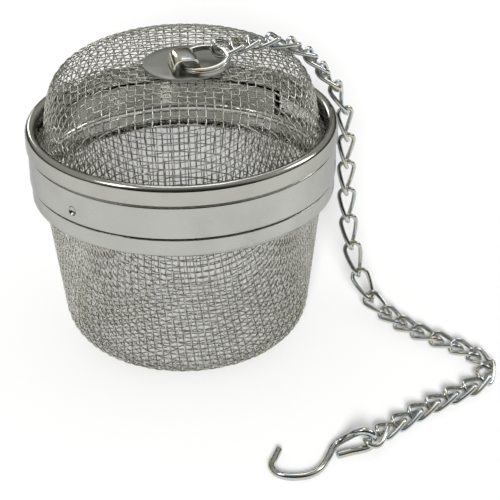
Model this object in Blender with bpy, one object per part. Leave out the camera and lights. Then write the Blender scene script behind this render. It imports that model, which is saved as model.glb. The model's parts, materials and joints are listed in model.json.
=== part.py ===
"""Ball tea infuser: a woven-wire cup, a twist-on domed lid, and a curb chain that ends in a wire hook.

Units are metres and +Z is up. The origin is the centre of the cup's flat bottom, where it stands on a table.
The lid is seated but not yet twisted: its two lugs stand at the bottom of the neck's entry channels.
The chain lies over the lid, hangs beside the cup and runs out on the table.
"""
import math

import bmesh
import bpy
from mathutils import Matrix, Vector

# ---- driving dimensions ----
SEGMENTS = 40  # facets round every turned piece
RING_SEGMENTS = 28  # facets round the small turned pieces
GAP = 0.0003  # clearance between pieces that touch

SHEET = 0.0006  # thickness of the pressed steel bands
CLOTH = 0.0006  # thickness of the woven wire cloth

RIM_RADIUS = 0.0375
RIM_BOTTOM_Z = 0.0523
RIM_BEAD_Z = 0.0556
RIM_BEAD_RADIUS = 0.0014
RIM_LIP_DROP = 0.0012  # how far the rolled edge turns down inside

BAND_RADIUS = 0.0370
BAND_BOTTOM_Z = 0.0438
BAND_TOP_Z = 0.0544
BAND_SHOULDER_Z = 0.0517  # above this the band steps in, so that the rim fits over it
BAND_SHOULDER_RISE = 0.0006
BAND_STEP_IN = 0.0006

DOME_RADIUS = 0.0319
DOME_BASE_Z = 0.0553
DOME_HEIGHT = 0.0180
DOME_EXPONENT = 4.0  # superellipse exponent of the dome's outline
DOME_FLARE = 0.0014  # how much wider the dome is at its base than that outline
DOME_FOOT_Z = 0.0532
DOME_FOOT_RADIUS = 0.0355
DOME_FOOT_BEND = 0.0011
DOME_POINTS = 10
FOOT_POINTS = 4

COLLAR_RADIUS = 0.0366
COLLAR_TOP_Z = 0.0433
COLLAR_BOTTOM_Z = 0.0387
COLLAR_CORNER = 0.0013
COLLAR_SHELF_RADIUS = 0.0345
COLLAR_LIP_RADIUS = 0.0359

NECK_RADIUS = 0.0356
NECK_BOTTOM_Z = 0.0406
NECK_TOP_Z = 0.0515

CUP_TOP_RADIUS = 0.0339
CUP_TOP_Z = 0.0387
CUP_CORNER = 0.0100
CUP_CORNER_RADIUS = 0.03015  # how far the bottom corner reaches from the axis
CUP_FLANGE_RADIUS = 0.0356
CUP_FLANGE_Z = 0.0397
CUP_FLANGE_BEND = 0.0008

LUG_ANGLES = (math.radians(225.7), math.radians(45.7))
LUG_Z = 0.0467
LUG_RADIUS = 0.0008
LUG_CENTRE = 0.0360  # distance of the lug's round tip centre from the axis
DENT_RADIUS = 0.0008
DENT_CENTRE = 0.03725
SLOT_WIDTH = 0.0026
TWIST = math.radians(30.0)  # the lid turns this far clockwise to lock

PLATE_CENTRE = Vector((0.0016, -0.0062))
PLATE_RADIUS = 0.0102
PLATE_BOTTOM_Z = 0.0737
PLATE_THICKNESS = 0.0005

STRAP_CENTRE = Vector((0.0012, -0.0096))
STRAP_TURN = math.radians(10.0)
STRAP_SPAN = 0.0066
STRAP_LENGTH = 0.0070
STRAP_HEIGHT = 0.0033
STRAP_POINTS = 9
STRAP_EXPONENT = 0.7  # below one, the arch has a flatter top and steeper sides than a circle

RING_CENTRE = Vector((0.0056, -0.0090, 0.0760))
RING_RADIUS = 0.0060
RING_WIDTH = 0.0009
RING_HEIGHT = 0.0013
RING_CHAMFER = 0.00025
RING_CHAIN_ANGLE = math.radians(50.0)  # where the chain hangs on the ring
RING_TILT = math.radians(7.5)  # the chain's first link lies under the ring there and lifts it

LINK_WIRE = 0.00103
LINK_LENGTH = 0.00986
LINK_WIDTH = 0.00506
LINK_TWIST = math.radians(-90.0)
LINK_STRAIGHT_STEPS = 3
LINK_END_STEPS = 5
LINK_COUNT = 30
LID_HEIGHT = 0.0620  # the chain lies on the lid above this height
TABLE_HEIGHT = 0.0060  # and on the table below this one
PITCH_ON_LID = 0.0055
PITCH_HANGING = 0.0074
PITCH_ON_TABLE = 0.00578

HOOK_WIRE = 0.0017
HOOK_STEPS = 3  # curve samples between two points of the hook's route
EYE_SLACK = Vector((0.0004, 0.0006, 0.0))  # how loosely the last link hangs in the hook's eye

RING_FACING = (0.4, -0.5, 0.8)  # the way the flat of the chain faces at the ring

# The chain's middle line after the ring, each point with the way the flat of the chain faces there.
CHAIN_ROUTE = (
    ((0.0120, -0.0026, 0.0763), (0.1, -0.1, 1.0)),
    ((0.0155, 0.0002, 0.0754), (0.1, -0.1, 1.0)),
    ((0.0196, 0.0034, 0.0749), (0.05, 0.0, 1.0)),
    ((0.0241, 0.0053, 0.0738), (0.2, 0.0, 1.0)),
    ((0.0284, 0.0066, 0.0716), (0.5, 0.1, 0.8)),
    ((0.0318, 0.0077, 0.0684), (0.8, 0.1, 0.5)),
    ((0.0348, 0.0086, 0.0641), (0.9, 0.0, 0.4)),
    ((0.0380, 0.0094, 0.0592), (0.9, -0.2, 0.3)),
    ((0.0400, 0.0098, 0.0535), (0.9, -0.45, 0.2)),
    ((0.0406, 0.0101, 0.0445), (0.75, -0.65, 0.0)),
    ((0.0406, 0.0101, 0.0370), (0.7, -0.7, 0.0)),
    ((0.0407, 0.0098, 0.0293), (0.65, -0.75, 0.0)),
    ((0.0412, 0.0091, 0.0216), (0.65, -0.75, 0.1)),
    ((0.0423, 0.0079, 0.0141), (0.6, -0.7, 0.3)),
    ((0.0441, 0.0058, 0.0077), (0.4, -0.5, 0.6)),
    ((0.0467, 0.0023, 0.0035), (0.2, -0.3, 0.85)),
    ((0.0500, -0.0018, 0.0020), (0.0, 0.0, 1.0)),
    ((0.0533, -0.0066, 0.0016), (0.0, 0.0, 1.0)),
    ((0.0578, -0.0117, 0.0016), (0.0, 0.0, 1.0)),
    ((0.0629, -0.0162, 0.0016), (0.0, 0.0, 1.0)),
    ((0.0677, -0.0207, 0.0016), (0.0, 0.0, 1.0)),
    ((0.0709, -0.0257, 0.0016), (0.0, 0.0, 1.0)),
    ((0.0712, -0.0308, 0.0016), (0.0, 0.0, 1.0)),
    ((0.0690, -0.0349, 0.0016), (0.0, 0.0, 1.0)),
    ((0.0655, -0.0379, 0.0016), (0.0, 0.0, 1.0)),
    ((0.0615, -0.0405, 0.0016), (0.0, 0.0, 1.0)),
    ((0.0571, -0.0435, 0.0016), (0.0, 0.0, 1.0)),
    ((0.0525, -0.0471, 0.0016), (0.0, 0.0, 1.0)),
    ((0.0481, -0.0510, 0.0016), (0.0, 0.0, 1.0)),
    ((0.0446, -0.0545, 0.0018), (0.0, 0.0, 1.0)),
    ((0.0420, -0.0578, 0.0026), (-0.3, 0.2, 0.9)),
    ((0.0402, -0.0619, 0.0028), (-0.8, 0.3, 0.5)),
    ((0.0388, -0.0660, 0.0036), (-0.8, 0.3, 0.5)),
)
ROUTE_STEPS = 24  # samples of the smooth route between two points

# The hook's wire from its tip, round the bend, up the shank, round the upright eye and back along the tail.
# Each point is measured from the place where the last link hangs in the eye, at table height.
HOOK_ROUTE = (
    (-0.0217, 0.0002, 0.0009),
    (-0.0228, -0.0030, 0.0009),
    (-0.0237, -0.0058, 0.0009),
    (-0.0229, -0.0087, 0.0009),
    (-0.0210, -0.0102, 0.0009),
    (-0.0184, -0.0107, 0.0009),
    (-0.0158, -0.0103, 0.0009),
    (-0.0136, -0.0088, 0.0009),
    (-0.0120, -0.0064, 0.0009),
    (-0.0108, -0.0035, 0.0009),
    (-0.0095, 0.0001, 0.0009),
    (-0.0084, 0.0018, 0.0010),
    (-0.0070, 0.0023, 0.0016),
    (-0.0056, 0.0018, 0.0028),
    (-0.0042, 0.0008, 0.0043),
    (-0.0025, 0.0001, 0.0052),
    (-0.0009, 0.0000, 0.0047),
    (0.0000, 0.0000, 0.0032),
    (-0.0003, 0.0000, 0.0019),
    (-0.0015, -0.0004, 0.0010),
    (-0.0036, -0.0011, 0.0009),
    (-0.0056, -0.0017, 0.0009),
    (-0.0084, -0.0028, 0.0009),
)

# ---- materials: name, colour, roughness ----
STEEL_BAND = ("satin_band_steel", (0.62, 0.63, 0.60, 1.0), 0.28)
STEEL_RIM = ("polished_rim_steel", (0.70, 0.70, 0.67, 1.0), 0.12)
STEEL_CLOTH = ("woven_wire_steel", (0.55, 0.56, 0.52, 1.0), 0.30)
STEEL_PLATE = ("anchor_plate_steel", (0.47, 0.47, 0.45, 1.0), 0.35)
STEEL_STRAP = ("anchor_strap_steel", (0.60, 0.59, 0.56, 1.0), 0.20)
STEEL_RING = ("split_ring_steel", (0.60, 0.60, 0.56, 1.0), 0.18)
STEEL_CHAIN = ("plated_chain_steel", (0.66, 0.67, 0.66, 1.0), 0.15)
STEEL_HOOK = ("plated_hook_steel", (0.62, 0.64, 0.64, 1.0), 0.18)


# ---- objects ----
def clear_scene():
    for obj in list(bpy.data.objects):
        bpy.data.objects.remove(obj)


def steel(look):
    name, colour, roughness = look
    made = bpy.data.materials.new(name)
    made.use_nodes = True
    shader = made.node_tree.nodes["Principled BSDF"]
    shader.inputs["Base Color"].default_value = colour
    shader.inputs["Metallic"].default_value = 1.0
    shader.inputs["Roughness"].default_value = roughness
    return made


def world_place(pivot):
    """Where a pivot stands. Pivots are never turned, so their places add up along the tree."""
    place = Vector((0.0, 0.0, 0.0))
    while pivot:
        place += pivot.location
        pivot = pivot.parent
    return place


def add_pivot(name, place, parent=None):
    """An empty that stands on a joint's axis."""
    pivot = bpy.data.objects.new(name, None)
    bpy.context.collection.objects.link(pivot)
    pivot.empty_display_size = 0.003
    pivot.location = Vector(place) - world_place(parent)
    pivot.parent = parent
    return pivot


def add_piece(name, data, look, pivot, pose=None):
    """A named piece at its world pose, parented to the pivot that it moves with."""
    piece = bpy.data.objects.new(name, data)
    bpy.context.collection.objects.link(piece)
    if not data.materials:
        data.materials.append(None)
    piece.material_slots[0].link = "OBJECT"
    piece.material_slots[0].material = steel(look)
    piece.parent = pivot
    piece.matrix_basis = Matrix.Translation(-world_place(pivot)) @ (pose or Matrix())
    return piece


def add_cutter(name, mesh, pose=None):
    """A hidden shape for a Boolean modifier."""
    cutter = bpy.data.objects.new(name, mesh)
    bpy.context.collection.objects.link(cutter)
    cutter.matrix_basis = pose or Matrix()
    cutter.hide_render = True
    cutter.display_type = "WIRE"
    return cutter


def add_boolean(piece, cutter, operation):
    modifier = piece.modifiers.new(cutter.name, "BOOLEAN")
    modifier.operation = operation
    modifier.object = cutter


# ---- shapes ----
def finish_mesh(name, bm):
    bmesh.ops.recalc_face_normals(bm, faces=bm.faces)
    mesh = bpy.data.meshes.new(name)
    bm.to_mesh(mesh)
    bm.free()
    mesh.shade_smooth()
    mesh.set_sharp_from_angle(angle=math.radians(35.0))
    return mesh


def lathe(name, outline, steps=SEGMENTS):
    """Spins an outline of (radius, height) points once round Z, closed, or open from axis to axis."""
    bm = bmesh.new()
    ring = [bm.verts.new((r, 0.0, z)) for r, z in outline]
    edges = [bm.edges.new(pair) for pair in zip(ring, ring[1:])]
    if outline[0][0] > 0.0 or outline[-1][0] > 0.0:
        edges.append(bm.edges.new((ring[-1], ring[0])))
    bmesh.ops.spin(
        bm, geom=edges, angle=2.0 * math.pi, steps=steps, axis=(0, 0, 1), cent=(0, 0, 0), use_merge=True
    )
    bmesh.ops.remove_doubles(bm, verts=bm.verts, dist=1e-7)
    return finish_mesh(name, bm)


def prism(name, outline, length):
    """Extrudes a closed outline of (x, z) points along Y, centred."""
    bm = bmesh.new()
    face = bm.faces.new([bm.verts.new((x, -length / 2.0, z)) for x, z in outline])
    moved = bmesh.ops.extrude_face_region(bm, geom=[face])["geom"]
    points = [item for item in moved if isinstance(item, bmesh.types.BMVert)]
    bmesh.ops.translate(bm, verts=points, vec=(0.0, length, 0.0))
    return finish_mesh(name, bm)


def sector(name, inner, outer, bottom, top, start, end):
    """A block between two radii, two heights and two angles round Z."""
    bm = bmesh.new()
    corners = ((inner, bottom), (outer, bottom), (outer, top), (inner, top))
    turn = Matrix.Rotation(start, 3, "Z")
    face = bm.faces.new([bm.verts.new(turn @ Vector((r, 0.0, z))) for r, z in corners])
    steps = max(2, round(SEGMENTS * (end - start) / (2.0 * math.pi)))
    bmesh.ops.spin(bm, geom=[face], angle=end - start, steps=steps, axis=(0, 0, 1), cent=(0, 0, 0))
    return finish_mesh(name, bm)


def ball(name, radius):
    bm = bmesh.new()
    bmesh.ops.create_uvsphere(bm, u_segments=12, v_segments=8, radius=radius)
    return finish_mesh(name, bm)


def arc(centre, radius, start, end, count):
    """Points on an arc of the (radius, height) plane, with angles in degrees."""
    turns = [math.radians(start + (end - start) * k / (count - 1)) for k in range(count)]
    return [(centre[0] + radius * math.cos(a), centre[1] + radius * math.sin(a)) for a in turns]


def sheet_outline(line, thickness):
    """The outline of a bent sheet: one face as given, the other on the right of the line's direction."""
    points = [Vector(point) for point in line]
    other = []
    for k, point in enumerate(points):
        before = (point - points[k - 1]).normalized() if k else None
        after = (points[k + 1] - point).normalized() if k + 1 < len(points) else None
        before = before or after
        after = after or before
        along = (before + after).normalized()
        side = Vector((along.y, -along.x))
        other.append(point + side * thickness / max(along.dot(before), 0.5))
    return [tuple(p) for p in points] + [(max(p.x, 0.0), p.y) for p in reversed(other)]


def wire(name, points, radius, closed, sides):
    """A round wire through the points."""
    curve = bpy.data.curves.new(name, "CURVE")
    curve.dimensions = "3D"
    curve.bevel_depth = radius
    curve.bevel_resolution = sides // 2 - 2
    curve.use_fill_caps = True
    spline = curve.splines.new("POLY")
    spline.points.add(len(points) - 1)
    for target, point in zip(spline.points, points):
        target.co = (*point, 1.0)
    spline.use_cyclic_u = closed
    return curve


def smooth_path(points, steps):
    """Samples a curve that passes smoothly through all the points."""
    vectors = [Vector(point) for point in points]
    ends = [2.0 * vectors[0] - vectors[1]] + vectors + [2.0 * vectors[-1] - vectors[-2]]
    path = []
    for p0, p1, p2, p3 in zip(ends, ends[1:], ends[2:], ends[3:]):
        for k in range(steps):
            t = k / steps
            curve = 2.0 * p1 + t * (p2 - p0)
            curve += t * t * (2.0 * p0 - 5.0 * p1 + 4.0 * p2 - p3)
            curve += t * t * t * (3.0 * p1 - p0 - 3.0 * p2 + p3)
            path.append(0.5 * curve)
    path.append(vectors[-1])
    return path


# ---- cup ----
def cup_mesh():
    slope = math.atan2(CUP_TOP_RADIUS - CUP_CORNER_RADIUS, CUP_TOP_Z - CUP_CORNER)
    line = [(CUP_FLANGE_RADIUS, CUP_FLANGE_Z)]
    bend = (CUP_TOP_RADIUS + CUP_FLANGE_BEND, CUP_FLANGE_Z - CUP_FLANGE_BEND)
    line += arc(bend, CUP_FLANGE_BEND, 90.0, 180.0, 3)
    corner = (CUP_CORNER_RADIUS - CUP_CORNER, CUP_CORNER)
    line += arc(corner, CUP_CORNER, -math.degrees(slope), -90.0, 7)
    line.append((0.0, 0.0))
    return lathe("basket_mesh", sheet_outline(line, CLOTH))


def collar_mesh():
    corner = (COLLAR_RADIUS - COLLAR_CORNER, COLLAR_BOTTOM_Z + COLLAR_CORNER)
    line = [(COLLAR_LIP_RADIUS, COLLAR_TOP_Z), (COLLAR_RADIUS - SHEET / 2.0, COLLAR_TOP_Z)]
    line += [(COLLAR_RADIUS, COLLAR_TOP_Z - SHEET / 2.0)]
    line += arc(corner, COLLAR_CORNER, 0.0, -90.0, 5)
    line.append((COLLAR_SHELF_RADIUS, COLLAR_BOTTOM_Z))
    inner = COLLAR_RADIUS - SHEET
    back = [(COLLAR_SHELF_RADIUS, COLLAR_BOTTOM_Z + SHEET)]
    back += arc(corner, COLLAR_CORNER - SHEET, -90.0, 0.0, 4)
    back += [(inner, COLLAR_TOP_Z - 1.5 * SHEET), (COLLAR_LIP_RADIUS, COLLAR_TOP_Z - SHEET)]
    return lathe("basket_collar", line + back)


def neck_mesh():
    inner = NECK_RADIUS - SHEET
    outline = [(inner, NECK_BOTTOM_Z), (NECK_RADIUS, NECK_BOTTOM_Z)]
    outline += [(NECK_RADIUS, NECK_TOP_Z), (inner, NECK_TOP_Z)]
    return lathe("basket_neck", outline)


def cut_slots(neck):
    """Each lug drops down an entry channel, then turns clockwise along a level slot."""
    reach = SLOT_WIDTH / 2.0 / NECK_RADIUS
    radii = (NECK_RADIUS - 2.0 * SHEET, NECK_RADIUS + SHEET)
    low = LUG_Z - SLOT_WIDTH / 2.0
    high = LUG_Z + SLOT_WIDTH / 2.0
    for k, angle in enumerate(LUG_ANGLES):
        entry = sector(f"entry_{k}", *radii, low, NECK_TOP_Z + SHEET, angle - reach, angle + reach)
        level = sector(f"level_{k}", *radii, low, high, angle - TWIST - reach, angle + reach / 2.0)
        add_boolean(neck, add_cutter(f"entry_cutter_{k}", entry), "DIFFERENCE")
        add_boolean(neck, add_cutter(f"level_cutter_{k}", level), "DIFFERENCE")


# ---- lid ----
def rim_mesh():
    bead = (RIM_RADIUS - RIM_BEAD_RADIUS, RIM_BEAD_Z)
    line = [(RIM_RADIUS - 2.0 * RIM_BEAD_RADIUS, RIM_BEAD_Z - RIM_LIP_DROP)]
    line += arc(bead, RIM_BEAD_RADIUS, 180.0, 0.0, 9)
    line.append((RIM_RADIUS, RIM_BOTTOM_Z))
    return lathe("lid_rim", sheet_outline(line, SHEET))


def band_mesh():
    step = BAND_RADIUS - BAND_STEP_IN
    line = [(step, BAND_TOP_Z), (step, BAND_SHOULDER_Z + BAND_SHOULDER_RISE)]
    line += [(BAND_RADIUS, BAND_SHOULDER_Z), (BAND_RADIUS, BAND_BOTTOM_Z)]
    return lathe("lid_band", sheet_outline(line, SHEET))


def press_lugs(band):
    """Each lug is a round bump inside the band with a dent behind it."""
    for k, angle in enumerate(LUG_ANGLES):
        turn = Matrix.Rotation(angle, 4, "Z")
        bump_pose = turn @ Matrix.Translation((LUG_CENTRE, 0.0, LUG_Z))
        dent_pose = turn @ Matrix.Translation((DENT_CENTRE, 0.0, LUG_Z))
        bump = add_cutter(f"lug_bump_{k}", ball(f"bump_{k}", LUG_RADIUS), bump_pose)
        dent = add_cutter(f"lug_dent_{k}", ball(f"dent_{k}", DENT_RADIUS), dent_pose)
        add_boolean(band, bump, "UNION")
        add_boolean(band, dent, "DIFFERENCE")


def dome_mesh():
    line = []
    for k in range(DOME_POINTS):
        turn = 0.5 * math.pi * (1.0 - k / DOME_POINTS)
        r = DOME_RADIUS * math.cos(turn) ** (2.0 / DOME_EXPONENT)
        rise = math.sin(turn) ** (2.0 / DOME_EXPONENT)
        r += DOME_FLARE * (1.0 - rise) ** 2
        line.append((r if k else 0.0, DOME_BASE_Z + DOME_HEIGHT * rise))
    bend = (DOME_RADIUS + DOME_FLARE + DOME_FOOT_BEND, DOME_FOOT_Z + DOME_FOOT_BEND)
    line += arc(bend, DOME_FOOT_BEND, 180.0, 270.0, FOOT_POINTS)
    line.append((DOME_FOOT_RADIUS, DOME_FOOT_Z))
    return lathe("lid_mesh", sheet_outline(line, CLOTH))


def plate_mesh():
    edge = PLATE_THICKNESS / 4.0
    top = PLATE_THICKNESS
    outline = [(0.0, 0.0), (PLATE_RADIUS - edge, 0.0), (PLATE_RADIUS, edge)]
    outline += [(PLATE_RADIUS, top - edge), (PLATE_RADIUS - edge, top), (0.0, top)]
    return lathe("anchor_disc", outline, RING_SEGMENTS)


def strap_mesh():
    """A strip bent over into a low arch, open at its front and back."""
    def arch(half, height):
        turns = [math.pi * k / (STRAP_POINTS - 1) for k in range(STRAP_POINTS)]
        points = []
        for a in turns:
            x = half * math.copysign(abs(math.cos(a)) ** STRAP_EXPONENT, math.cos(a))
            points.append((x, height * math.sin(a) ** STRAP_EXPONENT))
        return points

    outer = arch(STRAP_SPAN / 2.0, STRAP_HEIGHT)
    inner = arch(STRAP_SPAN / 2.0 - SHEET, STRAP_HEIGHT - SHEET)
    return prism("anchor_strap", outer + inner[::-1], STRAP_LENGTH)


def ring_mesh():
    low = -RING_HEIGHT / 2.0
    high = RING_HEIGHT / 2.0
    inner = RING_RADIUS - RING_WIDTH
    cut = RING_CHAMFER
    outline = [(inner + cut, low), (RING_RADIUS - cut, low), (RING_RADIUS, low + cut)]
    outline += [(RING_RADIUS, high - cut), (RING_RADIUS - cut, high), (inner + cut, high)]
    outline += [(inner, high - cut), (inner, low + cut)]
    return lathe("split_ring", outline, RING_SEGMENTS)


def ring_pose():
    """The ring leans so that it is highest where the chain hangs on it."""
    lean_axis = Vector((math.sin(RING_CHAIN_ANGLE), -math.cos(RING_CHAIN_ANGLE), 0.0))
    return Matrix.Translation(RING_CENTRE) @ Matrix.Rotation(RING_TILT, 4, lean_axis)


def ring_chain_point():
    middle = RING_RADIUS - RING_WIDTH / 2.0
    reach = Vector((middle * math.cos(RING_CHAIN_ANGLE), middle * math.sin(RING_CHAIN_ANGLE), 0.0))
    return ring_pose() @ reach


# ---- chain and hook ----
def link_curve():
    """A long oval of wire along X, with a straight twist from end to end, so that the chain lies flat."""
    half = (LINK_LENGTH - LINK_WIRE) / 2.0
    end_radius = (LINK_WIDTH - LINK_WIRE) / 2.0
    straight = half - end_radius
    flat = []
    for side in (-1.0, 1.0):
        for k in range(LINK_STRAIGHT_STEPS):
            flat.append((-side * straight * (1.0 - 2.0 * k / LINK_STRAIGHT_STEPS), side * end_radius))
        for k in range(LINK_END_STEPS):
            turn = math.pi * k / LINK_END_STEPS
            x = straight + end_radius * math.sin(turn)
            flat.append((side * x, side * end_radius * math.cos(turn)))
    points = []
    for x, y in flat:
        turn = LINK_TWIST / 2.0 * x / half
        points.append((x, y * math.cos(turn), y * math.sin(turn)))
    return wire("chain_link", points, LINK_WIRE / 2.0, closed=True, sides=6)


def chain_joints():
    """The places where link meets link, with the way the chain faces there, walked along the route."""
    stations = ((tuple(ring_chain_point()), RING_FACING),) + CHAIN_ROUTE
    path = smooth_path([place for place, _ in stations], ROUTE_STEPS)
    facing = smooth_path([face for _, face in stations], ROUTE_STEPS)
    joints = [(path[0], facing[0])]
    walked = 0.0
    for k in range(1, len(path)):
        height = joints[-1][0].z
        pitch = PITCH_HANGING
        if height > LID_HEIGHT:
            pitch = PITCH_ON_LID
        elif height < TABLE_HEIGHT:
            pitch = PITCH_ON_TABLE
        walked += (path[k] - path[k - 1]).length
        if walked >= pitch:
            back = (walked - pitch) / (path[k] - path[k - 1]).length
            joints.append((path[k].lerp(path[k - 1], back), facing[k]))
            walked -= pitch
        if len(joints) > LINK_COUNT:
            break
    return joints


def link_pose(start, end):
    """A link lies between two joints, its flat side facing the way of the chain."""
    along = (end[0] - start[0]).normalized()
    face = (start[1] + end[1]) / 2.0
    face = (face - along * face.dot(along)).normalized()
    across = face.cross(along)
    turn = Matrix((along, across, face)).transposed().to_4x4()
    return Matrix.Translation((start[0] + end[0]) / 2.0) @ turn


def hook_curve():
    return wire("hook", smooth_path(HOOK_ROUTE, HOOK_STEPS), HOOK_WIRE / 2.0, closed=False, sides=8)


def build_chain(parent):
    joints = chain_joints()
    data = link_curve()
    pivot = parent
    for k in range(LINK_COUNT):
        pivot = add_pivot(f"link_{k + 1:02d}_axis", joints[k][0], pivot)
        add_piece(f"link_{k + 1:02d}", data, STEEL_CHAIN, pivot, link_pose(joints[k], joints[k + 1]))
    eye = joints[-1][0] + EYE_SLACK
    pivot = add_pivot("hook_axis", eye, pivot)
    add_piece("hook", hook_curve(), STEEL_HOOK, pivot, Matrix.Translation((eye.x, eye.y, 0.0)))


def build():
    clear_scene()
    basket = add_pivot("basket_base", (0.0, 0.0, 0.0))
    add_piece("basket_mesh", cup_mesh(), STEEL_CLOTH, basket)
    add_piece("basket_collar", collar_mesh(), STEEL_BAND, basket)
    cut_slots(add_piece("basket_neck", neck_mesh(), STEEL_BAND, basket))

    lift = add_pivot("lid_lift_axis", (0.0, 0.0, RIM_BEAD_Z), basket)
    add_piece("lid_rim", rim_mesh(), STEEL_RIM, lift)
    twist = add_pivot("lid_twist_axis", (0.0, 0.0, LUG_Z), lift)
    press_lugs(add_piece("lid_band", band_mesh(), STEEL_BAND, twist))
    add_piece("lid_mesh", dome_mesh(), STEEL_CLOTH, twist)
    plate_pose = Matrix.Translation((*PLATE_CENTRE, PLATE_BOTTOM_Z))
    add_piece("anchor_disc", plate_mesh(), STEEL_PLATE, twist, plate_pose)
    strap_place = Matrix.Translation((*STRAP_CENTRE, PLATE_BOTTOM_Z + PLATE_THICKNESS + GAP))
    add_piece(
        "anchor_strap", strap_mesh(), STEEL_STRAP, twist, strap_place @ Matrix.Rotation(STRAP_TURN, 4, "Z")
    )

    ring = add_pivot("ring_axis", RING_CENTRE, twist)
    add_piece("split_ring", ring_mesh(), STEEL_RING, ring, ring_pose())
    build_chain(ring)


build()
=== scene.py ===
"""The tea infuser's looks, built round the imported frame.

The cloth is woven from single wires, the bands are turned and pressed sheet, and the chain's links, the
split ring and the hook are bent wire. Sizes and places come from the frame wherever it holds them.
Metres, +Z up.
"""
import json
import math
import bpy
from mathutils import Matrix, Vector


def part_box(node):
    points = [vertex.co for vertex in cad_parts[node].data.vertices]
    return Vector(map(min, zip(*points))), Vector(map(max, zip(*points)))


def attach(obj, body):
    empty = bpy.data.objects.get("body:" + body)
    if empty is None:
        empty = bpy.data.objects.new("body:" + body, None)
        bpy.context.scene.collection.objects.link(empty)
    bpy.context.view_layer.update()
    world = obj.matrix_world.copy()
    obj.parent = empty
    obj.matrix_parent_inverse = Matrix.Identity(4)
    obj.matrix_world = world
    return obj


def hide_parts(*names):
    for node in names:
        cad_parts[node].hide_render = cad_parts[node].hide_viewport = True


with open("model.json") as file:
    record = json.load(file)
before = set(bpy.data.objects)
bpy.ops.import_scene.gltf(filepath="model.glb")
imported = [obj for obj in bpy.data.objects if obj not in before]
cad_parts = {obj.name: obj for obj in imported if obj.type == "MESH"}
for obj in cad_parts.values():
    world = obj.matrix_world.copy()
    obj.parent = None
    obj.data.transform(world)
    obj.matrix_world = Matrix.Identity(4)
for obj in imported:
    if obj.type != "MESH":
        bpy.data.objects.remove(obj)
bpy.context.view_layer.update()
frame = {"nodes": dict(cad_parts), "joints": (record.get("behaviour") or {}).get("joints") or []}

import bmesh
import bpy
import numpy as np
from mathutils import Matrix, Vector

MM = 0.001
TAU = 2.0 * math.pi

# ---- camera, lights and floor ----
CAMERA_PLACE = (0.0, -0.450, 0.2635)
CAMERA_PITCH = math.radians(28.35)
CAMERA_YAW = math.radians(2.02)
CAMERA_ROLL = math.radians(-1.06)
CAMERA_LENS = 148.6
CAMERA_SENSOR = 36.0

# Softboxes: name, place, width, height, power.
SOFTBOXES = (
    ("left_softbox", (-0.52, -0.26, 0.80), 0.24, 0.34, 1.8),
    ("right_softbox", (0.74, 0.20, 0.58), 0.20, 0.36, 1.6),
    ("back_strip", (-0.34, 0.86, 0.36), 0.14, 0.26, 0.6),
    ("top_strip", (0.04, 0.46, 0.80), 0.34, 0.62, 1.5),
)
SOFTBOX_TARGET = (0.0, 0.0, 0.04)
# The key light comes from the camera's side, so its shadow falls behind the infuser.
KEY_STRENGTH = 4.9
KEY_RISE = math.radians(24.5)
KEY_ANGLE = math.radians(14.0)
SKY_STRENGTH = 0.48
FLOOR_HALF = 3.0
FLOOR_DROP = 0.02 * MM  # the paper lies just under the part, so that the two faces don't coincide
TENT_REACH = 1.6
TENT_ROWS = 24
TENT_COLUMNS = 48
TENT_SKIRT = math.radians(0.5)  # how far above the horizon the tent starts
# The tent dims towards the front: from this place to that one, as shares of its reach, down to this share.
TENT_FRONT = (-0.70, -0.25)
TENT_FRONT_SHARE = 0.12
# Brightness of the tent, by height from the horizon to straight overhead.
TENT_STOPS = (
    (0.00, (0.045, 0.043, 0.036)), (0.28, (0.10, 0.098, 0.085)), (0.40, (0.42, 0.42, 0.39)),
    (0.75, (0.48, 0.48, 0.455)), (1.00, (0.42, 0.42, 0.40)),
)

# ---- pressed and turned steel ----
SHEET = 0.6 * MM
ROUND_STEPS = 180  # facets round a turned piece
RIM_BEAD = 1.4 * MM  # radius of the rolled bead
RIM_TUCK = 1.2 * MM  # how far the rim's sheet goes on inside, below the bead's centre
RIM_FOOT_ROW = 1.2 * MM  # height of the last row of points outside, above the rim's foot
BAND_SHOULDER_Z = 51.7 * MM
# The step in the band under the rim: how far in from the outside, and how far above the shoulder's height.
BAND_SHOULDER = (
    (SHEET, 0.75 * MM), (SHEET - 0.06 * MM, 0.50 * MM), (0.22 * MM, 0.08 * MM), (0.05 * MM, -0.06 * MM),
)
COLLAR_TOP_RADIUS = 35.95 * MM
COLLAR_FOOT_RADIUS = 34.75 * MM
COLLAR_ROLL = 0.22 * MM
COLLAR_CORNER = 1.3 * MM
NECK_GROOVE = 0.65 * MM
DIMPLE_ANGLES = (math.radians(225.7), math.radians(45.7))
DIMPLE_Z = 46.7 * MM
DIMPLE_RADIUS = 1.15 * MM
DIMPLE_DEPTH = 0.75 * MM
LUG_DEPTH = 1.15 * MM
LUG_SPREAD = 1.7  # radius of the lug's foot over the dimple's
SLOT_WIDTH = 2.6 * MM
TWIST = math.radians(30.0)

# ---- woven cloth ----
WIRE = 0.33 * MM
WIRE_SIDES = 6
WIRE_STEPS = 3  # points of a wire's path from one crossing to the next
CROWN = 0.135 * MM  # how far a wire's centre stands off the cloth's middle where it crosses another
WANDER = 0.035 * MM  # how far a crossing strays from its even place
WARP_SEED, WEFT_SEED = 11, 12
# Spacing of the wires at the middle, and where the drawing has stretched them.
CUP_PITCH = (1.70 * MM, 1.78 * MM)
DOME_PITCH = (1.76 * MM, 1.96 * MM)
# How far from the middle, along the cloth, the stretch is complete. It starts at half of this.
CUP_WALL_START = 28.0 * MM
DOME_WALL_START = 30.0 * MM
CUP_TURN = math.radians(4.0)
DOME_TURN = math.radians(-1.0)
BLANK_SPARE = 14.0 * MM  # flat cloth past the edge, which is trimmed off after drawing
PROFILE_SAMPLES = 1600
PROFILE_SMOOTHING = 17  # samples that a slope is averaged over
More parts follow.
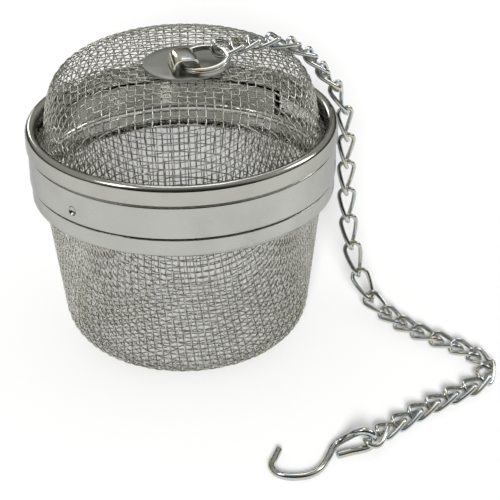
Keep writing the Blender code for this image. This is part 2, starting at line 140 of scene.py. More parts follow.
# Drawing the flat net over its shape, in rounds that each move every crossing a little.
NET_ROUNDS = 1500
NET_RATE = 1.2  # share of the average correction that a round makes
NET_SLACK = 0.35  # how strongly a wire resists being shortened, where being stretched is 1
NET_STIFFNESS = 0.30  # how strongly it resists a kink
NET_LEAD = 0.55  # how far, at most, the first guess already leans towards the diagonals
# Ties of a crossing: steps along both wires, and a diagonal's least length as a share of the pitch.
NET_TIES = ((1, 0, None), (0, 1, None), (1, 1, 0.42), (1, -1, 0.42))

# The cloths' outlines: the thickness of the shells that they stand for, and the shells' outer sizes.
WALL_CLOTH = 0.6 * MM
CUP_FLAT_RADIUS = 20.15 * MM  # the flat bottom's
CUP_CORNER = 10.0 * MM
CUP_MOUTH = (33.9 * MM, 38.7 * MM)  # radius and height where the wall turns out into the flange
CUP_BEND = 1.1 * MM
DOME_WALL = 31.9 * MM
DOME_FLARE = 1.4 * MM  # how much wider the dome is at its base
DOME_BASE_Z = 55.3 * MM
DOME_POWER = 0.5  # 1 would be a round outline, and 0 a square one
DOME_STEPS = 60
DOME_BEND = 1.4 * MM
EDGE_GAP = 0.2 * MM  # how far the cloth's edge stays inside the shell's

# ---- anchor, ring, chain and hook ----
DISC_EDGE = 0.14 * MM
STRAP_TURN = math.radians(10.0)
STRAP_SPAN = 6.6 * MM
STRAP_LENGTH = 7.0 * MM
STRAP_POWER = 0.7  # 1 would be a round arch
STRAP_BEVEL = 0.13 * MM
RING_RADIUS = 6.0 * MM  # to the outside of its coils
RING_WIDTH = 0.9 * MM
RING_COIL = 0.62 * MM  # thickness of one coil
RING_COIL_GAP = 0.03 * MM
RING_EDGE = 0.16 * MM  # rounding of its wire's corners
RING_STEPS = 260
RING_ZERO = (0.1964, -0.9771, -0.0819)  # the direction that turns round the ring are measured from
RING_START = math.radians(118.0)
RING_WRAP = math.radians(672.0)
# Where along the wire it starts to change level, and over what angle.
RING_CROSSING = (math.radians(318.0), math.radians(44.0))
LINK_WIRE = 1.08 * MM
LINK_LENGTH = 9.91 * MM
LINK_WIDTH = 5.11 * MM
LINK_TWIST = math.radians(-90.0)
LINK_SIDES = 12
LINK_STRAIGHT_STEPS = 12
LINK_BEND_STEPS = 18
HOOK_WIRE = 1.7 * MM
HOOK_SIDES = 20
HOOK_STEPS = 10  # points of its path from one place of the route to the next
# The hook's wire from its tip to the end of its tail: x and y from the hook's joint, z from the table.
HOOK_ROUTE = (
    (-0.0217, 0.0002, 0.0009), (-0.0228, -0.0030, 0.0009), (-0.0237, -0.0058, 0.0009),
    (-0.0229, -0.0087, 0.0009), (-0.0210, -0.0102, 0.0009), (-0.0184, -0.0107, 0.0009),
    (-0.0158, -0.0103, 0.0009), (-0.0136, -0.0088, 0.0009), (-0.0120, -0.0064, 0.0009),
    (-0.0108, -0.0035, 0.0009), (-0.0095, 0.0001, 0.0009), (-0.0084, 0.0018, 0.0010),
    (-0.0070, 0.0023, 0.0016), (-0.0056, 0.0018, 0.0028), (-0.0042, 0.0008, 0.0043),
    (-0.0025, 0.0001, 0.0052), (-0.0009, 0.0000, 0.0047), (0.0000, 0.0000, 0.0032),
    (-0.0003, 0.0000, 0.0019), (-0.0015, -0.0004, 0.0010), (-0.0036, -0.0011, 0.0009),
    (-0.0056, -0.0017, 0.0009), (-0.0084, -0.0028, 0.0009),
)


# ---- the stage ----
def make_camera():
    data = bpy.data.cameras.new("camera")
    data.lens = CAMERA_LENS
    data.sensor_width = CAMERA_SENSOR
    camera = bpy.data.objects.new("camera", data)
    bpy.context.collection.objects.link(camera)
    turn = Matrix.Rotation(-CAMERA_YAW, 4, "Z") @ Matrix.Rotation(math.pi / 2.0 - CAMERA_PITCH, 4, "X")
    camera.matrix_world = Matrix.Translation(CAMERA_PLACE) @ turn @ Matrix.Rotation(CAMERA_ROLL, 4, "Z")
    bpy.context.scene.camera = camera


def add_area(name, place, target, width, height, power):
    data = bpy.data.lights.new(name, "AREA")
    data.shape = "RECTANGLE"
    data.size = width
    data.size_y = height
    data.energy = power
    light = bpy.data.objects.new(name, data)
    bpy.context.collection.objects.link(light)
    away = Vector(place) - Vector(target)
    light.matrix_world = Matrix.Translation(place) @ away.to_track_quat("Z", "Y").to_matrix().to_4x4()
    return light


def add_tent():
    """A grey tent that only reflections see, dark low down and in front."""
    points = []
    for i in range(TENT_ROWS + 1):
        rise = TENT_SKIRT + (math.pi / 2.0 - TENT_SKIRT) * i / TENT_ROWS
        flat = TENT_REACH * math.cos(rise)
        for j in range(TENT_COLUMNS):
            turn = TAU * j / TENT_COLUMNS
            points.append((flat * math.cos(turn), flat * math.sin(turn), TENT_REACH * math.sin(rise)))
    faces = []
    for i in range(TENT_ROWS):
        here, above = i * TENT_COLUMNS, (i + 1) * TENT_COLUMNS
        for j in range(TENT_COLUMNS):
            after = (j + 1) % TENT_COLUMNS
            faces.append((here + j, here + after, above + after, above + j))
    mesh = bpy.data.meshes.new("tent")
    mesh.from_pydata(points, [], faces)
    tent = bpy.data.objects.new("tent", mesh)
    bpy.context.collection.objects.link(tent)
    mesh.materials.append(tent_cloth())
    for ray in ("camera", "diffuse", "shadow", "transmission", "volume_scatter"):
        setattr(tent, f"visible_{ray}", False)


def tent_cloth():
    material = bpy.data.materials.new("tent_cloth")
    material.use_nodes = True
    tree = material.node_tree
    tree.nodes.remove(tree.nodes["Principled BSDF"])
    glow = tree.nodes.new("ShaderNodeEmission")
    place = tree.nodes.new("ShaderNodeTexCoord")
    parts = tree.nodes.new("ShaderNodeSeparateXYZ")
    tree.links.new(place.outputs["Object"], parts.inputs[0])
    height = tree.nodes.new("ShaderNodeMapRange")
    height.inputs["From Max"].default_value = TENT_REACH
    tree.links.new(parts.outputs["Z"], height.inputs["Value"])
    ramp = tree.nodes.new("ShaderNodeValToRGB")
    tree.links.new(height.outputs["Result"], ramp.inputs["Fac"])
    for element, (position, colour) in zip(ramp.color_ramp.elements, (TENT_STOPS[0], TENT_STOPS[-1])):
        element.position = position
        element.color = (*colour, 1.0)
    for position, colour in TENT_STOPS[1:-1]:
        ramp.color_ramp.elements.new(position).color = (*colour, 1.0)
    front = tree.nodes.new("ShaderNodeMapRange")
    front.interpolation_type = "SMOOTHSTEP"
    front.inputs["From Min"].default_value = TENT_FRONT[0] * TENT_REACH
    front.inputs["From Max"].default_value = TENT_FRONT[1] * TENT_REACH
    front.inputs["To Min"].default_value = TENT_FRONT_SHARE
    tree.links.new(parts.outputs["Y"], front.inputs["Value"])
    tree.links.new(front.outputs["Result"], glow.inputs["Strength"])
    tree.links.new(ramp.outputs["Color"], glow.inputs["Color"])
    tree.links.new(glow.outputs["Emission"], tree.nodes["Material Output"].inputs["Surface"])
    return material


def make_studio():
    world = bpy.data.worlds.new("studio")
    bpy.context.scene.world = world
    world.use_nodes = True
    sky = world.node_tree.nodes["Background"]
    sky.inputs["Color"].default_value = (1.0, 1.0, 1.0, 1.0)
    sky.inputs["Strength"].default_value = SKY_STRENGTH

    mesh = bpy.data.meshes.new("floor")
    corners = [(x * FLOOR_HALF, y * FLOOR_HALF, 0) for x, y in ((-1, -1), (1, -1), (1, 1), (-1, 1))]
    mesh.from_pydata(corners, [], [(0, 1, 2, 3)])
    floor = bpy.data.objects.new("floor", mesh)
    bpy.context.collection.objects.link(floor)
    floor.location.z = -FLOOR_DROP
    material = bpy.data.materials.new("floor_paper")
    material.use_nodes = True
    shader = material.node_tree.nodes["Principled BSDF"]
    shader.inputs["Base Color"].default_value = (0.93, 0.93, 0.925, 1.0)
    shader.inputs["Roughness"].default_value = 0.9
    shader.inputs["Specular IOR Level"].default_value = 0.1
    mesh.materials.append(material)

    for name, place, width, height, power in SOFTBOXES:
        add_area(name, place, SOFTBOX_TARGET, width, height, power).visible_diffuse = False
    sun = bpy.data.lights.new("front_key", "SUN")
    sun.energy = KEY_STRENGTH
    sun.angle = KEY_ANGLE
    key = bpy.data.objects.new("front_key", sun)
    bpy.context.collection.objects.link(key)
    key.rotation_euler = (math.pi / 2.0 - KEY_RISE, 0.0, -CAMERA_YAW)
    key.visible_glossy = False
    add_tent()
    bpy.context.scene.view_settings.view_transform = "Standard"


# ---- materials ----
class Nodes:
    """Short hand for building a steel's node tree."""

    def __init__(self, name, colour, roughness):
        self.material = bpy.data.materials.new(name)
        self.material.use_nodes = True
        self.tree = self.material.node_tree
        self.shader = self.tree.nodes["Principled BSDF"]
        self.shader.inputs["Metallic"].default_value = 1.0
        self.shader.inputs["Base Color"].default_value = (*colour, 1.0)
        self.shader.inputs["Roughness"].default_value = roughness
        self.place = self.tree.nodes.new("ShaderNodeTexCoord").outputs["Object"]

    def node(self, kind, **settings):
        node = self.tree.nodes.new(kind)
        for key, value in settings.items():
            setattr(node, key, value)
        return node

    def link(self, output, socket):
        self.tree.links.new(output, socket)

    def math(self, operation, a, b=0.0):
        node = self.node("ShaderNodeMath", operation=operation)
        for socket, value in zip(node.inputs, (a, b)):
            if isinstance(value, (int, float)):
                socket.default_value = value
            else:
                self.link(value, socket)
        return node.outputs[0]

    def noise(self, vector, scale, detail=3.0, rough=0.55):
        node = self.node("ShaderNodeTexNoise")
        node.inputs["Scale"].default_value = scale
        node.inputs["Detail"].default_value = detail
        node.inputs["Roughness"].default_value = rough
        self.link(vector, node.inputs["Vector"])
        return node.outputs["Fac"]

    def spread(self, value, low, high, start=0.3, end=0.7):
        node = self.node("ShaderNodeMapRange")
        node.inputs["From Min"].default_value = start
        node.inputs["From Max"].default_value = end
        node.inputs["To Min"].default_value = low
        node.inputs["To Max"].default_value = high
        self.link(value, node.inputs["Value"])
        return node.outputs["Result"]

    def round_place(self, along, across):
        """Angle round Z and height, scaled, so that a texture runs along the turning direction."""
        parts = self.node("ShaderNodeSeparateXYZ")
        self.link(self.place, parts.inputs[0])
        angle = self.math("ARCTAN2", parts.outputs["Y"], parts.outputs["X"])
        radius = self.node("ShaderNodeVectorMath", operation="LENGTH")
        flat = self.node("ShaderNodeCombineXYZ")
        self.link(parts.outputs["X"], flat.inputs["X"])
        self.link(parts.outputs["Y"], flat.inputs["Y"])
        self.link(flat.outputs[0], radius.inputs[0])
        out = self.node("ShaderNodeCombineXYZ")
        self.link(self.math("MULTIPLY", angle, along), out.inputs["X"])
        self.link(self.math("MULTIPLY", parts.outputs["Z"], across), out.inputs["Y"])
        self.link(self.math("MULTIPLY", radius.outputs["Value"], across), out.inputs["Z"])
        return out.outputs[0]

    def tint(self, value, dark, light):
        ramp = self.node("ShaderNodeMix", data_type="RGBA")
        ramp.inputs["A"].default_value = (*dark, 1.0)
        ramp.inputs["B"].default_value = (*light, 1.0)
        self.link(value, ramp.inputs["Factor"])
        self.link(ramp.outputs["Result"], self.shader.inputs["Base Color"])

    def bump(self, value, depth, strength, after=None):
        node = self.node("ShaderNodeBump")
        node.inputs["Distance"].default_value = depth
        node.inputs["Strength"].default_value = strength
        self.link(value, node.inputs["Height"])
        if after is not None:
            self.link(after, node.inputs["Normal"])
        self.link(node.outputs["Normal"], self.shader.inputs["Normal"])
        return node.outputs["Normal"]


def band_steel(name, colour, roughness, brushing):
    """Pressed sheet: fine lines round the band, handling marks and small scratches."""
    n = Nodes(name, colour, roughness)
    n.shader.inputs["Specular Tint"].default_value = (0.62, 0.62, 0.63, 1.0)
    lines = n.noise(n.round_place(along=1.6, across=5200.0), scale=1.0, detail=2.0)
    smears = n.noise(n.place, scale=130.0, detail=4.0)
    specks = n.noise(n.place, scale=2600.0, detail=2.0)
    value = n.math("ADD", n.spread(smears, low=-0.05, high=0.09), n.spread(lines, low=-0.05, high=0.05))
    n.link(n.math("ADD", value, roughness), n.shader.inputs["Roughness"])
    dark = tuple(c * 0.90 for c in colour)
    stains = n.noise(n.place, scale=90.0, detail=5.0)
    n.tint(n.spread(stains, low=0.0, high=1.0, start=0.35, end=0.65), dark, colour)
    first = n.bump(lines, depth=0.004 * MM, strength=brushing)
    n.bump(specks, depth=0.003 * MM, strength=0.25, after=first)
    return n.material


def wire_steel(name, colour, roughness, grain):
    """Drawn wire: small pits and dull patches, with a little colour where it has aged."""
    n = Nodes(name, colour, roughness)
    patches = n.noise(n.place, scale=420.0, detail=4.0)
    pits = n.noise(n.place, scale=5200.0, detail=2.0)
    n.link(n.math("ADD", n.spread(patches, low=-0.06, high=0.14), roughness), n.shader.inputs["Roughness"])
    worn = (colour[0] * 0.80, colour[1] * 0.79, colour[2] * 0.74)
    stains = n.noise(n.place, scale=210.0, detail=5.0)
    n.tint(n.spread(stains, low=0.0, high=1.0, start=0.40, end=0.62), worn, colour)
    n.bump(pits, depth=0.010 * MM, strength=grain)
    return n.material


def plated_steel(name, colour, roughness):
    """Bright plating over wire: nearly a mirror, with faint blue and straw tints and tiny dents."""
    n = Nodes(name, colour, roughness)
    haze = n.noise(n.place, scale=900.0, detail=4.0)
    n.link(n.math("ADD", n.spread(haze, low=-0.05, high=0.10), roughness), n.shader.inputs["Roughness"])
    cool = (colour[0] * 0.88, colour[1] * 0.95, colour[2] * 1.02)
    warm = (colour[0] * 1.0, colour[1] * 0.95, colour[2] * 0.82)
    stains = n.noise(n.place, scale=330.0, detail=3.0)
    n.tint(n.spread(stains, low=0.0, high=1.0, start=0.38, end=0.62), cool, warm)
    dents = n.noise(n.place, scale=700.0, detail=2.0)
    first = n.bump(dents, depth=0.03 * MM, strength=0.35)
    n.bump(n.noise(n.place, scale=6000.0, detail=2.0), depth=0.004 * MM, strength=0.3, after=first)
    return n.material


# ---- shapes ----
def add_piece(name, points, faces, material, body, replaced=(), sharp=40.0):
    mesh = bpy.data.meshes.new(name)
    mesh.from_pydata([tuple(p) for p in points], [], faces)
    bm = bmesh.new()
    bm.from_mesh(mesh)
    bmesh.ops.remove_doubles(bm, verts=bm.verts, dist=1e-7)
    bmesh.ops.recalc_face_normals(bm, faces=bm.faces)
    bm.to_mesh(mesh)
    bm.free()
    return finish_piece(name, mesh, material, body, replaced, sharp)


def finish_piece(name, mesh, material, body, replaced=(), sharp=40.0):
    mesh.shade_smooth()
    if sharp:
        mesh.set_sharp_from_angle(angle=math.radians(sharp))
    mesh.materials.clear()
    mesh.materials.append(material)
    piece = bpy.data.objects.new(name, mesh)
    bpy.context.collection.objects.link(piece)
    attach(piece, body)
    if replaced:
        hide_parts(*replaced)
    return piece


def revolve(outline, angles=None, shape=None):
    """Points and faces of a closed (radius, height) outline turned round Z. A shape function may dent it."""
    angles = np.arange(ROUND_STEPS) * TAU / ROUND_STEPS if angles is None else np.asarray(angles)
    outline = np.asarray(outline, float)
    rows = len(outline)
    radius = np.broadcast_to(outline[:, 0], (len(angles), rows)).copy()
    height = np.broadcast_to(outline[:, 1], (len(angles), rows)).copy()
    if shape is not None:
        radius += shape(angles[:, None], radius, height)
    points = np.stack([radius * np.cos(angles)[:, None], radius * np.sin(angles)[:, None], height], -1)
    faces = []
    for i in range(len(angles)):
        after = (i + 1) % len(angles)
        for j in range(rows):
            up = (j + 1) % rows
            if max(outline[j, 0], outline[up, 0]) > 1e-9:
                faces.append((i * rows + j, after * rows + j, after * rows + up, i * rows + up))
    return points.reshape(-1, 3), [drop_repeats(face, outline, rows) for face in faces]


def drop_repeats(face, outline, rows):
    """At the axis two corners of a face are one point."""
    on_axis = [k for k in face if outline[k % rows, 0] < 1e-9]
    return face if len(on_axis) < 2 else tuple(k for k in face if k != on_axis[-1])


def arc(centre, radius, start, end, count):
    """Points on an arc of the (radius, height) plane, with angles in degrees."""
    turns = np.radians(np.linspace(start, end, count))
    return [(centre[0] + radius * math.cos(a), centre[1] + radius * math.sin(a)) for a in turns]


def sheet_outline(line, thickness, lip=4):
    """The outline of a bent sheet with rounded edges. Its other face is on the right of the line."""
    points = [Vector(point) for point in line]
    sides = []
    for k, point in enumerate(points):
        before = (point - points[k - 1]).normalized() if k else (points[1] - point).normalized()
        after = (points[k + 1] - point).normalized() if k + 1 < len(points) else before
        along = (before + after).normalized()
        sides.append((along, Vector((along.y, -along.x)) / max(along.dot(before), 0.5)))
    other = [point + side * thickness for point, (_, side) in zip(points, sides)]
    ends = []
    for end, (along, side), sign in ((points[-1], sides[-1], 1.0), (other[0], sides[0], -1.0)):
        half = sign * thickness / 2.0
        middle = end + side * half
        turns = [math.pi * (j + 1) / (lip + 1) for j in range(lip)]
        ends.append([middle - side * math.cos(a) * half + along * math.sin(a) * half for a in turns])
    return [tuple(p) for p in points + ends[0] + other[::-1] + ends[1]]


def smooth_path(points, steps):
    """Samples a curve that passes smoothly through all the points."""
    points = np.asarray(points, float)
    ends = np.vstack([2.0 * points[0] - points[1], points, 2.0 * points[-1] - points[-2]])
    t = (np.arange(steps) / steps)[:, None]
    path = []
    for p0, p1, p2, p3 in zip(ends, ends[1:], ends[2:], ends[3:]):
        curve = 2.0 * p1 + t * (p2 - p0) + t * t * (2.0 * p0 - 5.0 * p1 + 4.0 * p2 - p3)
        path.append(0.5 * (curve + t ** 3 * (3.0 * p1 - p0 - 3.0 * p2 + p3)))
    return np.vstack(path + [points[-1:]])


def unit(vectors):
    return vectors / np.maximum(np.linalg.norm(vectors, axis=-1, keepdims=True), 1e-12)


def tube(path, radius, sides, closed=False, normals=None, chamfer=0.12):
    """A round wire along a path. Without given normals, its section is carried along without twisting."""
    path = np.asarray(path, float)
    if closed:
        tangents = unit(np.roll(path, -1, 0) - np.roll(path, 1, 0))
    else:
        tangents = unit(np.gradient(path, axis=0))
    if normals is None:
        normals = carried_normals(tangents, closed)
    normals = unit(normals - tangents * np.sum(normals * tangents, 1, keepdims=True))
    across = np.cross(tangents, normals)
    turns = np.arange(sides) * TAU / sides
    ring = np.cos(turns)[None, :, None] * normals[:, None] + np.sin(turns)[None, :, None] * across[:, None]
    rows = path[:, None] + ring * radius
    if closed:
        faces = grid_faces(len(path), sides, True)
        return rows.reshape(-1, 3), faces
    cut = radius * chamfer
    first = path[0] - tangents[0] * cut + ring[0] * (radius - cut)
    last = path[-1] + tangents[-1] * cut + ring[-1] * (radius - cut)
    rows = np.concatenate([first[None], rows, last[None]])
    faces = grid_faces(len(rows), sides, False)
    faces.append(tuple(range(sides))[::-1])
    faces.append(tuple((len(rows) - 1) * sides + k for k in range(sides)))
    return rows.reshape(-1, 3), faces


def carried_normals(tangents, closed):
    """Normals that turn only as the path does. On a closed path what is left over is spread along it."""
    start = np.cross(tangents[0], (0.0, 0.0, 1.0))
    if np.linalg.norm(start) < 1e-6:
        start = np.cross(tangents[0], (0.0, 1.0, 0.0))
    normals = [unit(start)]
    for before, after in zip(tangents, tangents[1:]):
        turn = Vector(before).rotation_difference(Vector(after)).to_matrix()
        normals.append(np.array(turn @ Vector(normals[-1])))
    normals = np.array(normals)
    if not closed:
        return normals
    back = Vector(tangents[-1]).rotation_difference(Vector(tangents[0])).to_matrix() @ Vector(normals[-1])
    axis = Vector(tangents[0])
    slip = math.atan2(axis.dot(back.cross(Vector(normals[0]))), back.dot(Vector(normals[0])))
    turned = []
    for k, (normal, tangent) in enumerate(zip(normals, tangents)):
        spin = Matrix.Rotation(slip * k / len(tangents), 3, Vector(tangent))
        turned.append(np.array(spin @ Vector(normal)))
    return np.array(turned)


def grid_faces(rows, sides, closed):
    """Quads between rows of points that each go round a section."""
    faces = []
    for i in range(rows if closed else rows - 1):
        after = (i + 1) % rows
        for j in range(sides):
            up = (j + 1) % sides
            faces.append((i * sides + j, after * sides + j, after * sides + up, i * sides + up))
    return faces


def own_axes(node):
    """The middle of a CAD piece's points and its axes, longest first."""
    points = np.array([v.co for v in frame["nodes"][node].data.vertices], float)
    points = np.unique(np.round(points, 8), axis=0)
    centre = points.mean(0)
    _, axes = np.linalg.eigh(np.cov((points - centre).T))
    longest, middle, least = axes[:, 2], axes[:, 1], axes[:, 0]
    if np.dot(np.cross(longest, middle), least) < 0.0:
        least = -least
    return centre, longest, middle, least


# ---- woven cloth ----
class Profile:
    """The cloth's middle line in the (radius, height) plane, measured along itself from the axis."""

    def __init__(self, points):
        points = np.asarray(points, float)
        points = np.vstack([points, points[-1] + (BLANK_SPARE, 0.0)])
        steps = np.linalg.norm(np.diff(points, axis=0), axis=1)
        raw = np.concatenate([[0.0], np.cumsum(steps)])
        self.length = raw[-2]
        self.s = np.linspace(0.0, raw[-1], PROFILE_SAMPLES)
        self.r = np.interp(self.s, raw, points[:, 0])
        self.z = np.interp(self.s, raw, points[:, 1])
        self.slope_r = self.smooth_slope(self.r)
        self.slope_z = self.smooth_slope(self.z)

    def smooth_slope(self, values):
        window = np.ones(PROFILE_SMOOTHING) / PROFILE_SMOOTHING
        slope = np.pad(np.gradient(values, self.s), PROFILE_SMOOTHING // 2, "edge")
        return np.convolve(slope, window, "valid")

    def at(self, s):
        return np.interp(s, self.s, self.r), np.interp(s, self.s, self.z)

    def slope(self, s):
        return np.interp(s, self.s, self.slope_r), np.interp(s, self.s, self.slope_z)


def weave_net(profile, pitch, wall_start):
    """Draws a quarter of a flat square net over the turned surface.

    Its wires hardly stretch, so its cells shear. Returns the net's points as flat polar places: the distance
    from the axis along the cloth times the direction.
    """
    count = int(profile.length / pitch[0]) + 5
    i, j = np.meshgrid(np.arange(count), np.arange(count), indexing="ij")
    flat = np.hypot(i, j) * pitch[0]
    kept = flat < profile.length + 3.0 * pitch[0]
    s = flat.copy()
    turn = np.arctan2(j, i).astype(float)
    r, _ = profile.at(s)
    lead = np.clip(flat / np.maximum(r, 1e-6) - 1.0, 0.0, NET_LEAD)
    angle = turn + lead / 4.0 * np.sin(4.0 * turn)
    half_way = wall_start / 2.0
    for _ in range(NET_ROUNDS):
        r, z = profile.at(s)
        cos, sin = np.cos(angle), np.sin(angle)
        place = np.stack([r * cos, r * sin, z], -1)
        stretch = np.clip((s - half_way) / half_way, 0.0, 1.0)
        push = tie_pushes(place, pitch[0] + (pitch[1] - pitch[0]) * stretch, kept)
        push += NET_STIFFNESS * straighten(place, kept)
        slope_r, slope_z = profile.slope(s)
        outward = push[..., 0] * cos + push[..., 1] * sin
        around = push[..., 1] * cos - push[..., 0] * sin
        s = np.clip(s + outward * slope_r + push[..., 2] * slope_z, 0.0, None)
        angle = angle + around / np.maximum(r, 0.5 * pitch[0])
        angle[:, 0] = 0.0
        angle[0, :] = math.pi / 2.0
        s[0, 0] = 0.0
    return s[..., None] * np.stack([np.cos(angle), np.sin(angle)], -1), kept


def tie_pushes(place, rest, kept):
    """How the ties move each crossing: wires keep their length, and cells shear until their wires meet."""
    count = len(place)
    push = np.zeros_like(place)
    number = np.zeros_like(rest)
    for di, dj, share in NET_TIES:
        a = (slice(0, count - di), slice(0, count - dj) if dj >= 0 else slice(1, count))
        b = (slice(di, count), slice(dj, count) if dj >= 0 else slice(0, count - 1))
        both = kept[a] & kept[b]
        gap = place[b] - place[a]
        length = np.linalg.norm(gap, axis=-1)
        wanted = 0.5 * (rest[a] + rest[b])
        if share is None:
            error = length - wanted
            error = np.where(error < 0.0, NET_SLACK * error, error)
        else:
            error = 0.5 * np.minimum(length - share * wanted, 0.0)
        move = (0.5 * error / np.maximum(length, 1e-9))[..., None] * gap * both[..., None]
        push[a] += move
        push[b] -= move
        number[a] += both * (error != 0.0)
        number[b] += both * (error != 0.0)
    return push * (NET_RATE / np.maximum(number, 1.0))[..., None]


def straighten(place, kept):
    """How far each crossing lies off the middle of its neighbours on both its wires."""
    total = np.zeros_like(place)
    for axis, mirror in ((0, (-1.0, 1.0, 1.0)), (1, (1.0, -1.0, 1.0))):
        line = np.moveaxis(place, axis, 0)
        here = np.moveaxis(kept, axis, 0)
        before = np.concatenate([line[1:2] * mirror, line[:-1]])
        after = np.concatenate([line[1:], line[-1:]])
        has_before = np.concatenate([here[1:2], here[:-1]])
        has_after = np.concatenate([here[1:], np.zeros_like(here[:1])])
        off = (0.5 * (before + after) - line) * (here & has_before & has_after)[..., None]
        total += np.moveaxis(off, 0, axis)
    return 0.5 * total


def full_net(quarter, kept):
    """Mirrors the quarter net into the whole one."""
    count = len(quarter)
    size = 2 * count - 1
    net = np.zeros((size, size, 2))
    have = np.zeros((size, size), bool)
    for sx in (1, -1):
        for sy in (1, -1):
            rows = count - 1 + sx * np.arange(count)
            columns = count - 1 + sy * np.arange(count)
            net[np.ix_(rows, columns)] = quarter * (sx, sy)
            have[np.ix_(rows, columns)] = kept
    return net, have


def wire_rows(net, have, profile, turn, lift, seed):
    """Every wire of one direction as its path and the cloth's outward normals along it."""
    random = np.random.default_rng(seed)
    found = []
    cos_turn, sin_turn = math.cos(turn), math.sin(turn)
    spin = np.array([[cos_turn, -sin_turn, 0.0], [sin_turn, cos_turn, 0.0], [0.0, 0.0, 1.0]])
    for k in range(net.shape[0]):
        columns = np.flatnonzero(have[k])
        if len(columns) < 3:
            continue
        flat = smooth_path(net[k, columns], WIRE_STEPS)
        wander = random.normal(0.0, WANDER, (len(columns), 2))
        flat = flat + smooth_path(wander, WIRE_STEPS)
        s = np.linalg.norm(flat, axis=1)
        inside = np.flatnonzero(s <= profile.length)
        if len(inside) < 4:
            continue
        span = slice(inside[0], inside[-1] + 1)
        flat, s = flat[span], s[span]
        where = np.arange(span.start, span.stop) / WIRE_STEPS + columns[0] + k
        wave = np.cos(math.pi * where) * lift
        angle = np.arctan2(flat[:, 1], flat[:, 0])
        r, z = profile.at(s)
        slope_r, slope_z = profile.slope(s)
        normal = np.stack([-slope_z * np.cos(angle), -slope_z * np.sin(angle), slope_r], -1)
        path = np.stack([r * np.cos(angle), r * np.sin(angle), z], -1) + unit(normal) * wave[:, None]
        found.append((path @ spin.T, normal @ spin.T))
    return found


def wires_mesh(rows):
    points = []
    faces = []
    start = 0
    for path, normal in rows:
        made, quads = tube(path, WIRE / 2.0, WIRE_SIDES, normals=normal)
        points.append(made)
        faces += [tuple(start + k for k in quad) for quad in quads]
        start += len(made)
    return np.vstack(points), faces


def add_wires(name, rows, material, body, replaced=()):
    points, faces = wires_mesh(rows)
    mesh = bpy.data.meshes.new(name)
    mesh.from_pydata(points.tolist(), [], faces)
    return finish_piece(name, mesh, material, body, replaced, sharp=None)


def make_cloth(name, profile_points, pitch, turn, wall_start, material, body, node, together):
    profile = Profile(profile_points)
    quarter, kept = weave_net(profile, pitch, wall_start)
    net, have = full_net(quarter, kept)
    warp = wire_rows(net, have, profile, turn, CROWN, WARP_SEED)
    weft = wire_rows(net.transpose(1, 0, 2), have.T, profile, turn, -CROWN, WEFT_SEED)
    if together:
        add_wires(f"{name}_cloth", warp + weft, material, body, (node,))
    else:
        add_wires(f"{name}_cloth_warp", warp, material, body, (node,))
        add_wires(f"{name}_cloth_weft", weft, material, body)


def cup_profile():
    """From the middle of the bottom, round the corner, up the leaning wall and out to the flange's edge."""
    low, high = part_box("basket_mesh")
    inset = WALL_CLOTH / 2.0
    corner_radius = CUP_CORNER - inset
    corner_centre = (CUP_FLAT_RADIUS, corner_radius + inset)
    top = (CUP_MOUTH[0] - inset, CUP_MOUTH[1])
    lean = math.degrees(math.atan2(top[0] - corner_centre[0] - corner_radius, top[1] - corner_centre[1]))
    line = [(0.0, low.z + inset)] + arc(corner_centre, corner_radius, -90.0, -lean, 24)
    line += arc((top[0] + CUP_BEND, high.z - inset - CUP_BEND), CUP_BEND, 180.0, 90.0, 8)
    line.append((high.x - EDGE_GAP, high.z - inset))
    return line


def dome_profile():
    """From the top, along a rounded square that widens to its base, and out to the foot's edge."""
    low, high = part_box("lid_mesh")
    inset = WALL_CLOTH / 2.0
    wall = DOME_WALL - inset
    height = high.z - inset - DOME_BASE_Z
    turns = np.linspace(math.pi / 2.0, 0.0, DOME_STEPS)[:-1]
    rises = np.sin(turns) ** DOME_POWER
    radii = wall * np.cos(turns) ** DOME_POWER + DOME_FLARE * (1.0 - rises) ** 2
    line = list(zip(radii, DOME_BASE_Z + height * rises))
    line[0] = (0.0, DOME_BASE_Z + height)
    foot = low.z + inset
    line += arc((wall + DOME_FLARE + DOME_BEND, foot + DOME_BEND), DOME_BEND, 180.0, 270.0, 8)
    line.append((high.x - EDGE_GAP, foot))
    return line


# ---- bands ----
def make_rim(material):
    low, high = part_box("lid_rim")
    centre = (high.x - RIM_BEAD, high.z - RIM_BEAD)
    line = [(centre[0] - RIM_BEAD, centre[1] - RIM_TUCK)] + arc(centre, RIM_BEAD, 180.0, 0.0, 26)
    line += [(high.x, low.z + RIM_FOOT_ROW), (high.x, low.z + SHEET / 2.0)]
    points, faces = revolve(sheet_outline(line, SHEET))
    add_piece("lid_rolled_rim", points, faces, material, "lid_ring", ("lid_rim",))


def dimple_shape(outer):
    """Radial change of the band: a dent outside and a lug inside at each dimple."""
    def shape(angle, radius, height):
        change = 0.0
        for place in DIMPLE_ANGLES:
            aside = (np.mod(angle - place + math.pi, TAU) - math.pi) * outer
            far = np.hypot(aside, height - DIMPLE_Z)
            near = np.sqrt(1.0 - np.clip(far / DIMPLE_RADIUS, 0.0, 1.0) ** 2)
            skirt = 0.5 + 0.5 * np.cos(np.clip(far / (DIMPLE_RADIUS * LUG_SPREAD), 0.0, 1.0) * math.pi)
            outside = radius > outer - SHEET / 2.0
            change = change - np.where(outside, near * DIMPLE_DEPTH, skirt * LUG_DEPTH)
        return change
    return shape


